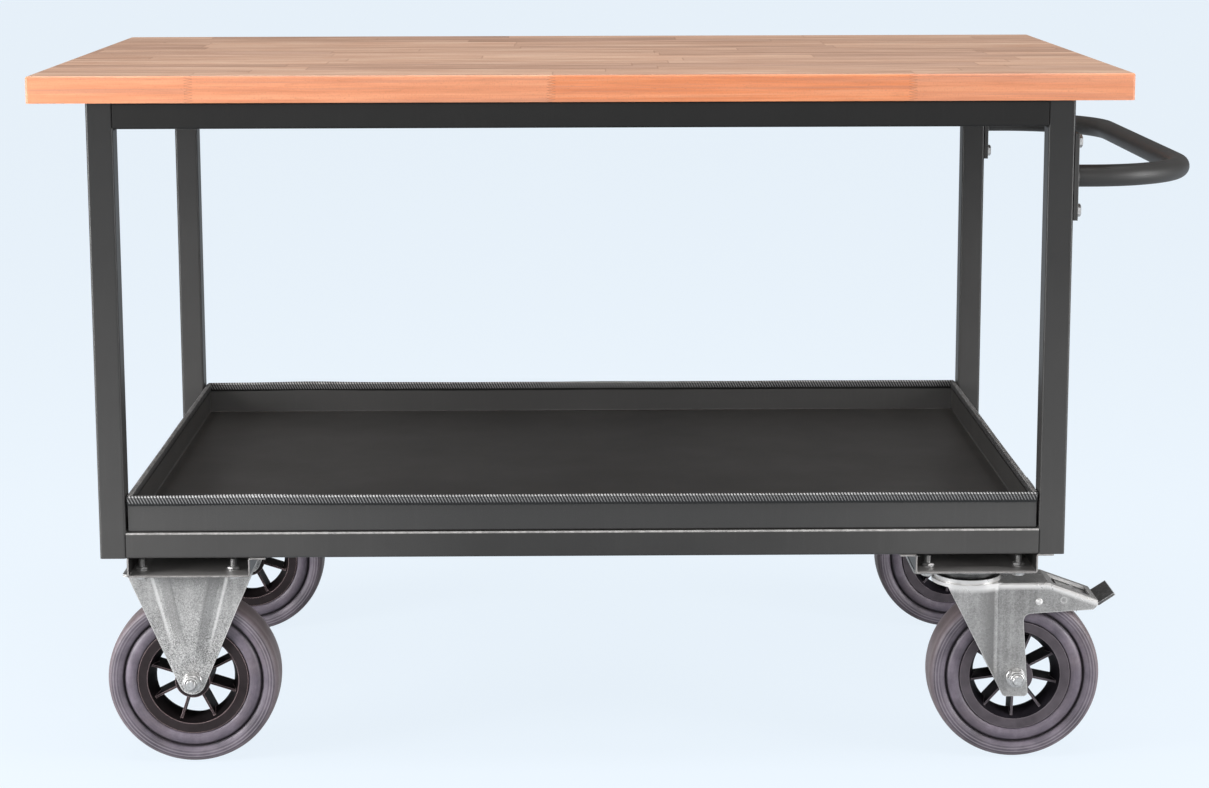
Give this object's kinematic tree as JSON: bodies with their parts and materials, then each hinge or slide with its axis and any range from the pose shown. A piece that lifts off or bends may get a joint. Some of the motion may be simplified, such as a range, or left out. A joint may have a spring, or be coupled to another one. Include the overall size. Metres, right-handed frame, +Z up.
{
  "type": "rolling assembly table",
  "caption": "Rolling workshop table: beech worktop on a welded square-tube frame, lower tray, push handle, fixed and braked swivel casters.",
  "frame": {"origin": "centre of the footprint box, on the floor", "axes": "+X along the table to the push-handle end, +Y to the rear, +Z up"},
  "size_m": [1.32, 0.7, 0.8075],
  "materials": {
    "beech": "oiled beech, finger-jointed staves",
    "frame_paint": "satin anthracite powder coat",
    "channel_paint": "satin dark powder coat",
    "tray_paint": "smooth satin grey powder coat",
    "trim_rubber": "ribbed black edge trim",
    "tyre": "matte grey solid rubber",
    "rim_plastic": "moulded black plastic",
    "pedal_paint": "dark grey coating",
    "bearing_steel": "ground steel",
    "spring_steel": "bright spring steel",
    "zinc": "bright zinc plate"
  },
  "bodies": {
    "table": {"worktop": "beech", "worktop_screws": "zinc", "post_front_left": "frame_paint", "post_rear_left": "frame_paint", "top_rail_left": "frame_paint", "bottom_rail_left": "frame_paint", "caster_channel_left": "channel_paint", "post_front_right": "frame_paint", "post_rear_right": "frame_paint", "top_rail_right": "frame_paint", "bottom_rail_right": "frame_paint", "caster_channel_right": "channel_paint", "top_rail_front": "frame_paint", "top_rail_rear": "frame_paint", "bottom_rail_front": "frame_paint", "bottom_rail_rear": "frame_paint", "tray": "tray_paint", "tray_trims_long": "trim_rubber", "tray_trims_short": "trim_rubber", "push_handle": "frame_paint", "handle_plates": "frame_paint", "handle_bolts": "zinc", "caster_bolts": "zinc", "caster_nuts": "zinc", "fixed_axle_bolts": "zinc", "fixed_axle_nuts": "zinc", "kingpins": "zinc", "front_left_bracket": "zinc", "front_right_top_plate": "zinc", "rear_left_bracket": "zinc", "rear_right_top_plate": "zinc"},
    "front_left_wheel": {"front_left_tyre": "tyre", "front_left_rim": "rim_plastic", "front_left_bearing": "bearing_steel"},
    "front_right_swivel": {"front_right_fork": "zinc", "front_right_ball_race": "zinc", "front_right_axle_bolt": "zinc", "front_right_axle_nut": "zinc", "front_right_brake_pin": "spring_steel", "front_right_brake_spring": "spring_steel"},
    "front_right_wheel": {"front_right_tyre": "tyre", "front_right_rim": "rim_plastic", "front_right_bearing": "bearing_steel"},
    "front_right_pedal": {"front_right_brake_pedal": "pedal_paint"},
    "rear_left_wheel": {"rear_left_tyre": "tyre", "rear_left_rim": "rim_plastic", "rear_left_bearing": "bearing_steel"},
    "rear_right_swivel": {"rear_right_fork": "zinc", "rear_right_ball_race": "zinc", "rear_right_axle_bolt": "zinc", "rear_right_axle_nut": "zinc", "rear_right_brake_pin": "spring_steel", "rear_right_brake_spring": "spring_steel"},
    "rear_right_wheel": {"rear_right_tyre": "tyre", "rear_right_rim": "rim_plastic", "rear_right_bearing": "bearing_steel"},
    "rear_right_pedal": {"rear_right_brake_pedal": "pedal_paint"}
  },
  "joints": [
    {"name": "front_left_wheel_spin", "type": "hinge", "parent": "table", "child": "front_left_wheel", "pos_m": [-0.5025, -0.268, 0.1], "axis": [0, 1, 0], "continuous": true},
    {"name": "front_right_swivel_turn", "type": "hinge", "parent": "table", "child": "front_right_swivel", "pos_m": [0.4025, -0.268, 0.213], "axis": [0, 0, 1], "continuous": true},
    {"name": "front_right_wheel_spin", "type": "hinge", "parent": "front_right_swivel", "child": "front_right_wheel", "pos_m": [0.4565, -0.268, 0.1], "axis": [0, 1, 0], "continuous": true},
    {"name": "front_right_brake_press", "type": "hinge", "parent": "front_right_swivel", "child": "front_right_pedal", "pos_m": [0.5105, -0.268, 0.1925], "axis": [0, 1, 0], "range_deg": [0, 7]},
    {"name": "rear_left_wheel_spin", "type": "hinge", "parent": "table", "child": "rear_left_wheel", "pos_m": [-0.5025, 0.268, 0.1], "axis": [0, 1, 0], "continuous": true},
    {"name": "rear_right_swivel_turn", "type": "hinge", "parent": "table", "child": "rear_right_swivel", "pos_m": [0.4025, 0.268, 0.213], "axis": [0, 0, 1], "continuous": true},
    {"name": "rear_right_wheel_spin", "type": "hinge", "parent": "rear_right_swivel", "child": "rear_right_wheel", "pos_m": [0.4565, 0.268, 0.1], "axis": [0, 1, 0], "continuous": true},
    {"name": "rear_right_brake_press", "type": "hinge", "parent": "rear_right_swivel", "child": "rear_right_pedal", "pos_m": [0.5105, 0.268, 0.1925], "axis": [0, 1, 0], "range_deg": [0, 7]}
  ]
}
